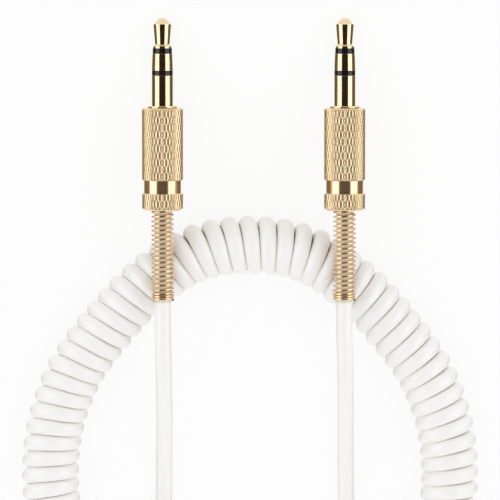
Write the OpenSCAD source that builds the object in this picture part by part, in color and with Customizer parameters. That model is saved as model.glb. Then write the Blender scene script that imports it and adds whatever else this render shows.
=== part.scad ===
// Coiled stereo audio cable: two 3.5 mm three-pole plugs joined by a curly cord.
// It lies on a surface at z = 0, +Z up. The plugs point along +Y and lean on their tips,
// with their springs resting over the coil. The origin is on the surface, midway between
// the plugs and midway along them.

/* [Plug contacts] */
// Diameter of the plug's sleeve and ring
plug_d = 3.5; // [3.4:0.05:3.6]
// Length of the bare sleeve, from the shoulder to the rear band
sleeve_length = 5.1; // [4:0.1:7]
// Length of the rear insulating band
rear_band_length = 0.85; // [0.5:0.05:1.2]
// Length of the ring contact
ring_length = 2.8; // [2:0.1:3.5]
// Length of the front insulating band
front_band_length = 0.9; // [0.5:0.05:1.2]
// Length of the tip, from the front band to the point
tip_length = 5.1; // [4:0.1:6]
// Length of the collar behind the tip's waist
tip_collar_length = 0.5; // [0.3:0.05:0.8]
// Diameter of the tip's collar
tip_collar_d = 3.14; // [3:0.02:3.24]
// Diameter of the tip's waist
tip_waist_d = 2.65; // [2.4:0.05:2.9]
// Diameter of the tip's head
tip_head_d = 3.15; // [3:0.05:3.3]
// Length of the tip's rounded point, in front of its head
tip_point_length = 1.1; // [0.8:0.05:1.4]
// Diameter of the point where its slope steepens
point_shoulder_d = 1.95; // [1.7:0.05:2.2]
// Diameter of the flat at the very end of the point
point_flat_d = 0.8; // [0.6:0.05:1.2]
// Chamfer of the edges that face the tip
edge_chamfer = 0.12; // [0.06:0.02:0.16]
// Diameter of the rod that runs back from the tip
tip_rod_d = 1; // [0.8:0.05:1]
// Wall of each tube inside the plug
tube_wall = 0.28; // [0.2:0.02:0.28]
// Radial clearance between pieces that slip over each other inside the plug
slip_clearance = 0.02; // [0.01:0.01:0.03]

/* [Threaded boss and solder tabs] */
// Diameter over the threads of the boss behind the sleeve
boss_d = 4.9; // [4.8:0.05:5.2]
// Length of the boss
boss_length = 4; // [3:0.25:4.5]
// Length of the boss that shows in front of the barrel
boss_reveal = 0.33; // [0.2:0.01:0.6]
// Diameter of the washer behind the boss
front_washer_d = 2.8; // [2.8:0.05:2.85]
// Diameter of the washer between the two tabs
rear_washer_d = 2.3; // [2.1:0.05:2.35]
// Thickness of one washer
washer_thickness = 0.6; // [0.4:0.05:0.8]
// Thickness of the solder tabs
tab_thickness = 0.2; // [0.15:0.01:0.2]
// Width of the solder tabs
tab_width = 1; // [0.8:0.05:1.2]
// Length of a tab's lug
lug_length = 2; // [1.8:0.1:2.2]
// Length of the conductors between the jacket and the joint on the tip's tab
wire_reveal = 2.5; // [1.5:0.1:2.8]
// Length of the crimp that holds the jacket
crimp_length = 2; // [1.5:0.1:2.5]
// Length of jacket in front of the crimp
jacket_reveal = 0.8; // [0.5:0.1:1.2]

/* [Barrel] */
// Diameter over the knurls
barrel_d = 6.84; // [6.4:0.02:7.6]
// Length of the barrel
barrel_length = 17.04; // [16.5:0.02:20]
// Diameter of the polished band
band_d = 6.2; // [5.8:0.02:6.4]
// Length of the polished band
band_length = 2.2; // [1.5:0.1:3]
// Length of the knurl behind the band
rear_knurl_length = 2.8; // [2:0.1:4]
// Chamfer of the barrel's edges
barrel_chamfer = 0.15; // [0.05:0.05:0.25]
// Radial clearance of the barrel's thread on the boss
thread_clearance = 0.06; // [0.03:0.01:0.1]
// Diameter of the chamber behind the thread
chamber_d = 4.7; // [4.6:0.05:4.75]
// Thickness of the barrel's rear wall, which holds the spring
rear_wall = 1.9; // [1.2:0.1:2.2]
// Radial clearance of the spring in the rear wall
spring_hole_clearance = 0.2; // [0.15:0.01:0.22]
// Clearance between faces that stop on each other
stop_clearance = 0.05; // [0.03:0.01:0.1]

/* [Liner] */
// Wall of the insulating liner
liner_wall = 0.2; // [0.15:0.05:0.25]
// Radial clearance between the liner and the chamber
liner_clearance = 0.15; // [0.1:0.01:0.2]
// Length left free between the liner and the spring
liner_gap = 0.62; // [0.4:0.02:1.2]

/* [Spring] */
// Outer diameter of the spring
spring_d = 3.8; // [3.7:0.02:3.9]
// Diameter of its wire
spring_wire_d = 0.4; // [0.3:0.02:0.42]
// Outer diameter of the flared turn that the barrel's rear wall traps
spring_flare_d = 4.4; // [4.36:0.02:4.5]
// Turns of the spring
spring_turns = 22.5; // [12:0.5:22.5]
// Length of the spring inside the barrel
spring_inside = 3.5; // [3.4:0.1:3.7]
// Length of the spring behind the barrel
spring_length = 15.3; // [15:0.1:20]

/* [Cord] */
// Diameter of the cord
cord_d = 2.7; // [2.4:0.05:2.75]
// Diameter of an insulated conductor
conductor_d = 0.6; // [0.5:0.02:0.6]
// Diameter of the bare ground strands, twisted together
ground_strand_d = 0.5; // [0.4:0.02:0.5]
// Diameter of a solder joint
solder_d = 0.56; // [0.5:0.02:0.6]
// Length of a solder joint
solder_length = 0.6; // [0.4:0.05:0.7]

/* [Coil] */
// Outer diameter of the coil
coil_d = 9.6; // [9:0.1:9.8]
// Whole turns of the coil
coil_turns = 44; // [20:1:44]
// Lean of the turns from upright, their tops towards the tips, in degrees
coil_lean = 17.5; // [10:0.5:20]

/* [Layout] */
// Distance between the two plugs
plug_spacing = 30.4; // [28:0.2:32]
// Slope of the plugs, which rest on their tips, in degrees
plug_slope = 13; // [12.8:0.1:15]

/* [Smoothness] */
// Facets of the round pieces
round_facets = 64; // [32:8:96]

/* [Hidden] */
$fn = round_facets;

// Places along a plug's own axis, +Z towards the tip, from the shoulder at 0.
rear_band_z = sleeve_length;
ring_z = rear_band_z + rear_band_length;
front_band_z = ring_z + ring_length;
tip_z = front_band_z + front_band_length;
waist_z = tip_z + tip_collar_length;
point_z = tip_z + tip_length;
head_z = point_z - tip_point_length;
barrel_front_z = -boss_reveal;
boss_rear_z = -boss_length;
barrel_rear_z = barrel_front_z - barrel_length;
rear_wall_z = barrel_rear_z + rear_wall;
band_rear_z = barrel_rear_z + rear_knurl_length;
band_front_z = band_rear_z + band_length;
spring_front_z = barrel_rear_z + spring_inside;
spring_end_z = barrel_rear_z - spring_length;

// Inner radii of the nested tubes, from the tip's rod outwards.
tip_tube_r = tip_rod_d / 2 + slip_clearance;
ring_tube_r = tip_tube_r + tube_wall + slip_clearance;
rear_tube_r = ring_tube_r + tube_wall + slip_clearance;
sleeve_r = rear_tube_r + tube_wall + slip_clearance;

// The stack behind the boss: washer, ring tab, washer, tip tab, and the rod's riveted end.
ring_tab_z = boss_rear_z - washer_thickness;
rear_washer_z = ring_tab_z - tab_thickness;
tip_tab_z = rear_washer_z - washer_thickness;
rod_end_z = tip_tab_z - 2 * tab_thickness;

// Outer faces of the three tabs, from the axis, and where each tab stands round it.
tip_lug_face = 0.95;
ring_lug_face = front_washer_d / 2;
ground_face = front_washer_d / 2 + tab_thickness + 2 * slip_clearance;
tip_angle = 240;
ring_angle = 120;
ground_angle = 0;

// The wires run straight from the jacket's end to the joints on the tabs.
tip_joint_z = tip_tab_z - lug_length + solder_length;
ring_joint_z = rod_end_z - 2 * slip_clearance;
ground_joint_z = ring_joint_z;
jacket_end_z = tip_joint_z - solder_length - wire_reveal;
crimp_front_z = jacket_end_z - jacket_reveal;
crimp_rear_z = crimp_front_z - crimp_length;

// The spring flares in one turn, inside the barrel.
spring_r = (spring_d - spring_wire_d) / 2;
flare_r = (spring_flare_d - spring_wire_d) / 2;
flare_turns = 0.5;
taper_turns = 0.75;

// Where the plugs stand: the rim of the tip's head touches the surface.
shoulder_z = head_z * sin(plug_slope) + tip_head_d / 2 * cos(plug_slope);
front_y = point_z * cos(plug_slope) + point_flat_d / 2 * sin(plug_slope);
back_y = spring_end_z * cos(plug_slope) - spring_d / 2 * sin(plug_slope);
shoulder_y = -(front_y + back_y) / 2;

// The coil. A coil's flat base is cut this deep.
base_cut = cord_d / 10;
coil_r = (coil_d - cord_d) / 2;
coil_axis_z = coil_d / 2 * cos(coil_lean) - base_cut;
// Turns over which an end of the coil draws in to its axis, and how much it stretches there.
draw_in_turns = 1.25;
draw_in_stretch = 2.4;
// Every wound tube has this many rings in a turn, and this many sides.
rings_per_turn = 8;
wound_sides = 6;
// Sides of a tail's tube.
tail_sides = 8;

// The coil's axis from above: half of the arch, from its crown to the end of a leg.
// The arch's middle lies this far from the plugs' middle.
arch_middle_x = -0.6;
half_arch = [
    [0, -15.4], [9.5, -17.1], [17.5, -22.6], [24.3, -30.1], [30, -38.5],
    [33.3, -48], [34.2, -57], [33.6, -66], [32.8, -75]
];
arch_steps = 12;

// Each tail's route from the coil's end to the spring, without its two ends.
left_tail_points = [
    [-33, -82, 4], [-31.6, -86, 3.3], [-28.6, -89, 2.4], [-24.4, -90.2, 1.7],
    [-20.2, -89.2, 1.35], [-17, -86.2, 1.35], [-15.7, -82, 1.35], [-15.5, -77, 1.35],
    [-15.5, -71, 1.35], [-15.5, -65, 1.4], [-15.4, -59.5, 2], [-15.3, -54, 3.6],
    [-15.2, -48.5, 6.1], [-15.1, -43.5, 8.9], [-15.1, -38.5, 11.5], [-15.1, -33.5, 13.1]
];
right_tail_points = [
    [31.9, -82, 4], [30.7, -85.7, 3.3], [28, -88.4, 2.4], [24.1, -89.5, 1.7],
    [20.3, -88.5, 1.35], [17.4, -85.7, 1.35], [16.2, -82, 1.35], [16, -77, 1.35],
    [16, -71, 1.35], [16, -65, 1.4], [15.9, -59.5, 2], [15.8, -54, 3.6],
    [15.7, -48.5, 6.1], [15.6, -43.5, 8.9], [15.5, -38.5, 11.5], [15.4, -33.5, 13.1]
];

gold = "gold";
insulator_black = [0.06, 0.06, 0.07];
cord_white = [0.93, 0.93, 0.92];

// ---- Helpers ----

function unit(v) = v / norm(v);

// A point on the smooth curve between b and c, whose outer neighbours are a and d.
function curve_point(a, b, c, d, t) =
    0.5 * (2 * b + (c - a) * t + (2 * a - 5 * b + 4 * c - d) * t * t
        + (3 * b - a - 3 * c + d) * t * t * t);

// The smooth curve through a list of points, with a number of steps between neighbours.
function smooth_curve(points, steps) =
    let (
        last = len(points) - 1,
        before = 2 * points[0] - points[1],
        after = 2 * points[last] - points[last - 1],
        padded = concat([before], points, [after])
    )
    concat(
        [for (i = [0:last - 1], k = [0:steps - 1])
            curve_point(padded[i], padded[i + 1], padded[i + 2], padded[i + 3], k / steps)],
        [points[last]]
    );

// The lengths along a line up to each of its points.
function lengths_along(line) =
    [for (i = 0, so_far = 0; i < len(line);
        so_far = so_far + (i + 1 < len(line) ? norm(line[i + 1] - line[i]) : 0), i = i + 1)
        so_far];

// A ring of points round a centre, square to along, with its first corner outward.
function ring_at(centre, along, outward, d, sides) =
    let (
        first = unit(outward - (outward * along) * along),
        second = cross(along, first)
    )
    [for (k = [0:sides - 1])
        centre + d / 2 * (cos(360 * k / sides) * first + sin(360 * k / sides) * second)];

// A closed tube through rings of points, with flat ends and triangular faces.
module tube_through(rings) {
    sides = len(rings[0]);
    last = (len(rings) - 1) * sides;
    walls = [for (i = [0:len(rings) - 2], k = [0:sides - 1])
        let (a = i * sides + k, b = i * sides + (k + 1) % sides)
        each [[a, a + sides, b], [b, a + sides, b + sides]]];
    first_end = [for (k = [1:sides - 2]) [0, k, k + 1]];
    last_end = [for (k = [1:sides - 2]) [last, last + k + 1, last + k]];
    polyhedron([for (ring = rings) each ring], concat(walls, first_end, last_end));
}

// The least distance between the rings of one turn and those of the next.
function least_gap(rings) =
    min([for (i = [0:len(rings) - rings_per_turn - 2],
            j = [i + rings_per_turn - 1:i + rings_per_turn + 1])
        min([for (p = rings[i], q = rings[j]) norm(p - q)])]);

// A tube along the plug's axis, by its two radii and its two ends.
module pipe(outer_r, inner_r, from, to) {
    difference() {
        translate([0, 0, from])
            cylinder(r = outer_r, h = to - from);
        translate([0, 0, from - 1])
            cylinder(r = inner_r, h = to - from + 2);
    }
}

// Places a plug's pieces: side is -1 for the left plug and 1 for the right one.
module on_plug(side) {
    translate([side * plug_spacing / 2, shoulder_y, shoulder_z])
        rotate([-90 - plug_slope, 0, 0])
            children();
}

// A point of a plug's axis in the part's own frame.
function on_axis(side, z) = [
    side * plug_spacing / 2,
    shoulder_y + z * cos(plug_slope),
    shoulder_z - z * sin(plug_slope)
];

// ---- Contacts and their insulators ----

module tip_contact() {
    color(gold)
        rotate_extrude()
            polygon([
                [0, rod_end_z], [tip_rod_d / 2, rod_end_z], [tip_rod_d / 2, tip_z],
                [tip_collar_d / 2, tip_z], [tip_collar_d / 2, waist_z - edge_chamfer],
                [tip_waist_d / 2, waist_z + edge_chamfer], [tip_head_d / 2, head_z],
                [point_shoulder_d / 2, point_z - tip_point_length / 4],
                [point_flat_d / 2, point_z], [0, point_z]
            ]);
}

module tip_insulator() {
    color(insulator_black)
        rotate_extrude()
            polygon([
                [tip_tube_r, tip_tab_z], [tip_tube_r + tube_wall, tip_tab_z],
                [tip_tube_r + tube_wall, front_band_z], [plug_d / 2 - edge_chamfer, front_band_z],
                [tip_collar_d / 2, tip_z], [tip_tube_r, tip_z]
            ]);
}

module ring_contact() {
    color(gold)
        rotate_extrude()
            polygon([
                [ring_tube_r, rear_washer_z], [ring_tube_r + tube_wall, rear_washer_z],
                [ring_tube_r + tube_wall, ring_z], [plug_d / 2, ring_z],
                [plug_d / 2, front_band_z - 3 * edge_chamfer],
                [plug_d / 2 - edge_chamfer, front_band_z], [ring_tube_r, front_band_z]
            ]);
}

module ring_insulator() {
    color(insulator_black)
        rotate_extrude()
            polygon([
                [rear_tube_r, boss_rear_z], [rear_tube_r + tube_wall, boss_rear_z],
                [rear_tube_r + tube_wall, rear_band_z], [plug_d / 2, rear_band_z],
                [plug_d / 2, ring_z], [rear_tube_r, ring_z]
            ]);
}

module sleeve_contact() {
    color(gold)
        rotate_extrude()
            polygon([
                [sleeve_r, boss_rear_z], [boss_d / 2, boss_rear_z], [boss_d / 2, 0],
                [plug_d / 2, 0], [plug_d / 2, rear_band_z], [sleeve_r, rear_band_z]
            ]);
}

// ---- Washers, tabs, wires and liner inside the barrel ----

module tab_washers() {
    color("sienna") {
        pipe(front_washer_d / 2, rear_tube_r, ring_tab_z, boss_rear_z);
        pipe(rear_washer_d / 2, ring_tube_r, tip_tab_z, rear_washer_z);
    }
}

// A ring round a tube, with a lug that runs back at one side.
module tab(inner_r, ring_r, front_z, face, angle) {
    color("silver")
        rotate([0, 0, angle])
            difference() {
                union() {
                    translate([0, 0, front_z - tab_thickness])
                        cylinder(r = ring_r, h = tab_thickness);
                    translate([-tab_width / 2, 0, front_z - tab_thickness])
                        cube([tab_width, face, tab_thickness]);
                    translate([-tab_width / 2, face - tab_thickness, front_z - lug_length])
                        cube([tab_width, tab_thickness, lug_length]);
                }
                translate([0, 0, front_z - tab_thickness - 1])
                    cylinder(r = inner_r, h = tab_thickness + 2);
            }
}

module tip_tab() {
    tab(tip_tube_r, tip_tube_r + tube_wall, tip_tab_z, tip_lug_face, tip_angle);
}

module ring_tab() {
    tab(rear_tube_r, front_washer_d / 2, ring_tab_z, ring_lug_face, ring_angle);
}

// A strip from the boss to a split crimp round the jacket.
module ground_tab() {
    crimp_outer_r = ground_face + tab_thickness;
    split = tab_width / 2;
    color("silver")
        rotate([0, 0, ground_angle]) {
            translate([-tab_width / 2, ground_face, crimp_rear_z])
                cube([tab_width, tab_thickness, boss_rear_z - crimp_rear_z]);
            difference() {
                pipe(crimp_outer_r, cord_d / 2 + slip_clearance, crimp_rear_z, crimp_front_z);
                translate([-split / 2, -crimp_outer_r, crimp_rear_z - 1])
                    cube([split, crimp_outer_r, crimp_length + 2]);
            }
        }
}

// Runs along the inner face of a tab, at a distance from the axis.
module along_tab(face, angle, d, from, to) {
    rotate([0, 0, angle])
        translate([0, face - tab_thickness - slip_clearance - d / 2, from])
            cylinder(d = d, h = to - from);
}

module tip_wire() {
    color("red")
        along_tab(tip_lug_face, tip_angle, conductor_d, jacket_end_z,
            tip_joint_z - solder_length);
}

module ring_wire() {
    color("white")
        along_tab(ring_lug_face, ring_angle, conductor_d, jacket_end_z,
            ring_joint_z - solder_length);
}

module ground_wire() {
    color("darkorange")
        along_tab(cord_d / 2 + tab_thickness, ground_angle, ground_strand_d, jacket_end_z,
            ground_joint_z - solder_length);
}

module solder_joints() {
    color("lightgrey") {
        along_tab(tip_lug_face, tip_angle, solder_d, tip_joint_z - solder_length, tip_joint_z);
        along_tab(ring_lug_face, ring_angle, solder_d, ring_joint_z - solder_length,
            ring_joint_z);
        along_tab(ground_face + tab_thickness, ground_angle, solder_d,
            ground_joint_z - solder_length, ground_joint_z);
    }
}

module liner() {
    outer_r = chamber_d / 2 - liner_clearance;
    front_z = boss_rear_z - stop_clearance;
    color([0.85, 0.85, 0.8])
        pipe(outer_r, outer_r - liner_wall, spring_front_z + liner_gap, front_z);
}

// ---- Barrel ----

module barrel() {
    outer_r = barrel_d / 2;
    bore_r = boss_d / 2 + thread_clearance;
    seat_z = boss_rear_z - stop_clearance;
    hole_r = spring_d / 2 + spring_hole_clearance;
    color(gold)
        rotate_extrude()
            polygon([
                [bore_r, barrel_front_z], [outer_r - barrel_chamfer, barrel_front_z],
                [outer_r, barrel_front_z - barrel_chamfer], [outer_r, band_front_z],
                [band_d / 2, band_front_z], [band_d / 2, band_rear_z],
                [outer_r, band_rear_z], [outer_r, barrel_rear_z + barrel_chamfer],
                [outer_r - barrel_chamfer, barrel_rear_z], [hole_r, barrel_rear_z],
                [hole_r, rear_wall_z], [chamber_d / 2, rear_wall_z],
                [chamber_d / 2, seat_z], [bore_r, seat_z]
            ]);
}

// ---- Spring ----

spring_pitch = (spring_inside + spring_length - 2 * spring_wire_d) / spring_turns;

// How far out the wire is, a number of turns from the spring's front.
function spring_radius(turns) =
    let (t = min(1, max(0, (turns - flare_turns) / taper_turns)))
    flare_r + (spring_r - flare_r) * (1 - cos(180 * t)) / 2;

function spring_wire(turns) = [
    spring_radius(turns) * cos(-360 * turns),
    spring_radius(turns) * sin(-360 * turns),
    spring_front_z - spring_wire_d - spring_pitch * turns
];

function spring_ring(turns, shift) =
    let (
        at = spring_wire(turns),
        along = unit(spring_wire(turns + 0.01) - spring_wire(turns - 0.01))
    )
    ring_at(at + shift * along, along, [at[0], at[1], 0], spring_wire_d, wound_sides);

spring_rings = concat(
    [spring_ring(0, -spring_wire_d)],
    [for (i = [0:spring_turns * rings_per_turn]) spring_ring(i / rings_per_turn, 0)],
    [spring_ring(spring_turns, spring_wire_d)]
);

module spring() {
    color(gold)
        tube_through(spring_rings);
}

// ---- Cord ----

arch_points = concat(
    [for (i = [len(half_arch) - 1:-1:1]) [arch_middle_x - half_arch[i][0], half_arch[i][1]]],
    [for (point = half_arch) [arch_middle_x + point[0], point[1]]]
);
arch_line = smooth_curve(arch_points, arch_steps);
arch_last = len(arch_line) - 1;
// The inner side of the arch, where the turns lie closest and are evenly spaced.
arch_inner = [for (i = [0:arch_last])
    let (along = unit(arch_line[min(i + 1, arch_last)] - arch_line[max(i - 1, 0)]))
    arch_line[i] + coil_r * [along[1], -along[0]]];
arch_lengths = lengths_along(arch_inner);
arch_length = arch_lengths[arch_last];
arch_x = [for (i = [0:arch_last]) [arch_lengths[i], arch_line[i][0]]];
arch_y = [for (i = [0:arch_last]) [arch_lengths[i], arch_line[i][1]]];

// A point of the coil's axis, and the direction of the axis there, by the length of the
// arch's inner side up to it.
function arch_at(s) = [lookup(s, arch_x), lookup(s, arch_y), coil_axis_z];
function arch_along(s) =
    unit(arch_at(min(s + 0.5, arch_length)) - arch_at(max(s - 0.5, 0)));

draw_in_extra = draw_in_stretch * draw_in_turns * draw_in_turns;
coil_pitch = (arch_length - 2 * draw_in_extra) / (coil_turns + 2 * draw_in_turns);
coil_start = draw_in_extra + coil_pitch * draw_in_turns;

// Where the cord leaves the left or right end of the coil, and which way the arch runs there.
function coil_end_along(side) = arch_along(side < 0 ? 0 : arch_length);
function coil_end(side) = arch_at(side < 0 ? 0 : arch_length) + side * cord_d * coil_end_along(side);

// How many turns past the nearer end of the full coil.
function past_end(turns) = max(0, -turns, turns - coil_turns);

// Where a turn lies along the arch.
function coil_place(turns) =
    coil_start + coil_pitch * turns
        + (turns < 0 ? -1 : 1) * draw_in_stretch * pow(past_end(turns), 2);

// The way from the coil's axis to its wire, in the plane of a turn that leans back.
function coil_outward(s, angle) =
    let (
        up = [0, sin(coil_lean), cos(coil_lean)],
        across = cross([0, 0, 1], arch_along(s)),
        side = unit(across - (across * up) * up)
    )
    cos(angle) * side + sin(angle) * up;

function coil_wire(turns) =
    let (
        s = coil_place(turns),
        radius = coil_r * (1 + cos(180 * past_end(turns) / draw_in_turns)) / 2
    )
    arch_at(s) + radius * coil_outward(s, 360 * turns);

// A ring of the coil's wire, with no point under the surface that the coil lies on.
function coil_ring(at, along, turns) =
    let (ring = ring_at(at, along, coil_outward(coil_place(turns), 360 * turns), cord_d,
        wound_sides))
    [for (p = ring) [p[0], p[1], max(p[2], 0)]];

coil_rings = concat(
    [coil_ring(coil_end(-1), coil_end_along(-1), -draw_in_turns)],
    [for (i = [-draw_in_turns * rings_per_turn:(coil_turns + draw_in_turns) * rings_per_turn])
        let (turns = i / rings_per_turn)
        coil_ring(coil_wire(turns), unit(coil_wire(turns + 0.01) - coil_wire(turns - 0.01)),
            turns)],
    [coil_ring(coil_end(1), coil_end_along(1), coil_turns + draw_in_turns)]
);

module coil_cord() {
    color(cord_white)
        tube_through(coil_rings);
}

// The cord from the crimp inside the barrel to the rear end of the spring.
module cord_end() {
    color(cord_white)
        translate([0, 0, spring_end_z])
            cylinder(d = cord_d, h = jacket_end_z - spring_end_z);
}

// A tail from an end of the coil to its spring, straight for two diameters at the spring.
module tail(side, points) {
    route = concat([coil_end(side)], points,
        [on_axis(side, spring_end_z - 2 * cord_d), on_axis(side, spring_end_z)]);
    last = len(route) - 1;
    leave = side * coil_end_along(side);
    arrive = unit(route[last] - route[last - 1]);
    rings = [for (i = [0:last])
        let (along = i == 0 ? leave : i >= last - 1 ? arrive : unit(route[i + 1] - route[i - 1]))
        ring_at(route[i], along, [0, 0, 1], cord_d, tail_sides)];
    color(cord_white)
        tube_through(rings);
}

echo(spring_pitch = spring_pitch, spring_least_gap = least_gap(spring_rings));
echo(coil_pitch = coil_pitch, coil_least_gap = least_gap(coil_rings));

on_plug(-1) tip_contact();  // left_tip_contact
on_plug(-1) tip_insulator();  // left_tip_insulator
on_plug(-1) ring_contact();  // left_ring_contact
on_plug(-1) ring_insulator();  // left_ring_insulator
on_plug(-1) sleeve_contact();  // left_sleeve_contact
on_plug(-1) tab_washers();  // left_tab_washers
on_plug(-1) tip_tab();  // left_tip_tab
on_plug(-1) ring_tab();  // left_ring_tab
on_plug(-1) ground_tab();  // left_ground_tab
on_plug(-1) liner();  // left_liner
on_plug(-1) barrel();  // left_barrel
on_plug(-1) spring();  // left_spring
on_plug(-1) tip_wire();  // left_tip_wire
on_plug(-1) ring_wire();  // left_ring_wire
on_plug(-1) ground_wire();  // left_ground_wire
on_plug(-1) solder_joints();  // left_solder_joints
on_plug(-1) cord_end();  // left_cord_end
on_plug(1) tip_contact();  // right_tip_contact
on_plug(1) tip_insulator();  // right_tip_insulator
on_plug(1) ring_contact();  // right_ring_contact
on_plug(1) ring_insulator();  // right_ring_insulator
on_plug(1) sleeve_contact();  // right_sleeve_contact
on_plug(1) tab_washers();  // right_tab_washers
on_plug(1) tip_tab();  // right_tip_tab
on_plug(1) ring_tab();  // right_ring_tab
on_plug(1) ground_tab();  // right_ground_tab
on_plug(1) liner();  // right_liner
on_plug(1) barrel();  // right_barrel
on_plug(1) spring();  // right_spring
on_plug(1) tip_wire();  // right_tip_wire
on_plug(1) ring_wire();  // right_ring_wire
on_plug(1) ground_wire();  // right_ground_wire
on_plug(1) solder_joints();  // right_solder_joints
on_plug(1) cord_end();  // right_cord_end
tail(-1, left_tail_points);  // left_tail
coil_cord();
tail(1, right_tail_points);  // right_tail
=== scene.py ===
"""A coiled white stereo audio cable with two gold-coloured plugs, whose barrels are knurled and
whose strain reliefs are springs.

Lengths are in millimetres and are scaled to metres where a mesh, light or camera is made. The
plugs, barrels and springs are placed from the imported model's left tip contact and the sizes below.
The cord follows the same route as its solids.
"""

import math

import bmesh
import bpy
import numpy as np
from mathutils import Matrix, Vector


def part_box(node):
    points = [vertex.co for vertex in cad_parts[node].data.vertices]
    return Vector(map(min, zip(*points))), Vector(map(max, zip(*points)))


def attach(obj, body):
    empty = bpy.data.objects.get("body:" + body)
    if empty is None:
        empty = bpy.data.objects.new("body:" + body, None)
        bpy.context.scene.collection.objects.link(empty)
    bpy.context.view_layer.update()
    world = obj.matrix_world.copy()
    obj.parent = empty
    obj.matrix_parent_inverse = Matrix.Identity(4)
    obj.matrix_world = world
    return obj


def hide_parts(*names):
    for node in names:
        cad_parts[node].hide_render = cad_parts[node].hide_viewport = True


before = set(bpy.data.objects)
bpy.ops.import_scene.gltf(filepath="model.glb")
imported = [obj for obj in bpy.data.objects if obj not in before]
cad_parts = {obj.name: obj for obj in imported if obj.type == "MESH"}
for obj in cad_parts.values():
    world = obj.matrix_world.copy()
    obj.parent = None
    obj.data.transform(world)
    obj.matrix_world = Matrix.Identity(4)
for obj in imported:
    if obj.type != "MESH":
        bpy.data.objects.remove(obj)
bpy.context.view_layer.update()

MM = 0.001
# A difference smaller than this is only rounding
ROUNDING = 0.001

# ---- Sizes that the solids were made with ----

PLUG_SPACING = 30.4
PLUG_SLOPE = math.radians(13)
SLEEVE_LENGTH = 5.1
REAR_BAND = 0.85
RING_LENGTH = 2.8
FRONT_BAND = 0.9
TIP_LENGTH = 5.1
TIP_POINT = 1.1
PLUG_R = 1.75
HEAD_R = 1.575
BOSS_R = 2.45
BOSS_LENGTH = 4
THREAD_PITCH = 0.5
BARREL_FRONT = -0.33
BARREL_LENGTH = 17.04
BARREL_R = 3.42
BAND_R = 3.1
BAND_LENGTH = 2.2
REAR_KNURL = 2.8
CHAMBER_R = 2.35
REAR_WALL = 1.9
REAR_HOLE_R = 2.1
SPRING_R = 1.7
SPRING_FLARE_R = 2.0
SPRING_WIRE = 0.4
SPRING_INSIDE = 3.5
SPRING_LENGTH = 15.3
CORD_D = 2.7
COIL_D = 9.6
COIL_LEAN = math.radians(17.5)

BARREL_REAR = BARREL_FRONT - BARREL_LENGTH
SPRING_END = BARREL_REAR - SPRING_LENGTH
HEAD_Z = SLEEVE_LENGTH + REAR_BAND + RING_LENGTH + FRONT_BAND + TIP_LENGTH - TIP_POINT
POINT_Z = HEAD_Z + TIP_POINT

# Sizes of the drawn pieces, a little off the solids' as in the photo
COIL_FULLNESS = 0.2
COIL_CORD_D = 2.9
COLLAR_R = 1.55
WAIST_R = 1.22
DOME_FOOT_R = 1.36
DOME_SIDE_R = 0.9
RIM_R = 1.48
FRONT_BAND_R = (1.62, 1.59)
RING_R = (1.745, 1.65)

COIL_R = (COIL_D + COIL_FULLNESS - COIL_CORD_D) / 2
COIL_AXIS_Z = COIL_R * math.cos(COIL_LEAN) + COIL_CORD_D / 2

# The shoulder of a plug, where its sleeve meets its boss. The tip's point marks the front.
POINT_FLAT_R = 0.4
FRONT_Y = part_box("left_tip_contact")[1].y / MM
SHOULDER_Y = FRONT_Y - POINT_Z * math.cos(PLUG_SLOPE) - POINT_FLAT_R * math.sin(PLUG_SLOPE)
SHOULDER_Z = HEAD_Z * math.sin(PLUG_SLOPE) + HEAD_R * math.cos(PLUG_SLOPE)

# The plugs, and the side of the middle on which each lies
SIDES = {"left": -1, "right": 1}


def on_axis(side, z):
    """A point of a plug's axis, z in front of its shoulder."""
    return np.array([
        side * PLUG_SPACING / 2,
        SHOULDER_Y + z * math.cos(PLUG_SLOPE),
        SHOULDER_Z - z * math.sin(PLUG_SLOPE),
    ])


def plug_matrix(side):
    """Takes a plug's own frame, +Z towards the tip from the shoulder, to the part's frame."""
    turn = Matrix.Rotation(-math.pi / 2 - PLUG_SLOPE, 4, "X")
    return Matrix.Translation(Vector(on_axis(side, 0))) @ turn


# ---- Camera: over the cable, leaning towards the tips ----

CAMERA_LEAN = math.radians(17.5)
CAMERA_DISTANCE = 700
PIXELS = 500
PIXELS_PER_MM = 6.0
SENSOR = 36
CLIP_METRES = (0.01, 20)
# The point in the middle of the picture
LOOK_AT = np.array([-0.6, -22.8 + SHOULDER_Y, 12.1])

towards_camera = np.array([0, math.sin(CAMERA_LEAN), math.cos(CAMERA_LEAN)])


def make_camera():
    """The photo's camera, which shows PIXELS_PER_MM at the point that it looks at."""
    data = bpy.data.cameras.new("camera")
    camera = bpy.data.objects.new("camera", data)
    bpy.context.scene.collection.objects.link(camera)
    bpy.context.scene.camera = camera
    data.sensor_width = SENSOR
    data.lens = SENSOR * CAMERA_DISTANCE * PIXELS_PER_MM / PIXELS
    data.clip_start, data.clip_end = CLIP_METRES
    camera.location = Vector(LOOK_AT + CAMERA_DISTANCE * towards_camera) * MM
    camera.rotation_euler = (-CAMERA_LEAN, 0, 0)


make_camera()

# ---- Mesh helpers ----

PLUG_COLUMNS = 96
# The ring that rounds a tube's end: its share of the tube's width, and how many widths out it is
END_RING_WIDTH = 0.75
END_RING_REACH = 0.025
# A rounded corner takes up at most this share of the edges beside it. It has so many points, and
# one more on either side, at this share of its reach.
CORNER_SHARE = 0.45
CORNER_POINTS = 5
CORNER_MARGIN = 0.2


def new_object(name, vertices, faces, material, smooth=True):
    """A mesh object from points in millimetres."""
    mesh = bpy.data.meshes.new(name)
    mesh.from_pydata((np.asarray(vertices, float) * MM).tolist(), [], faces)
    mesh.validate()
    if smooth:
        mesh.shade_smooth()
    mesh.materials.append(material)
    obj = bpy.data.objects.new(name, mesh)
    bpy.context.scene.collection.objects.link(obj)
    return obj


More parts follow.
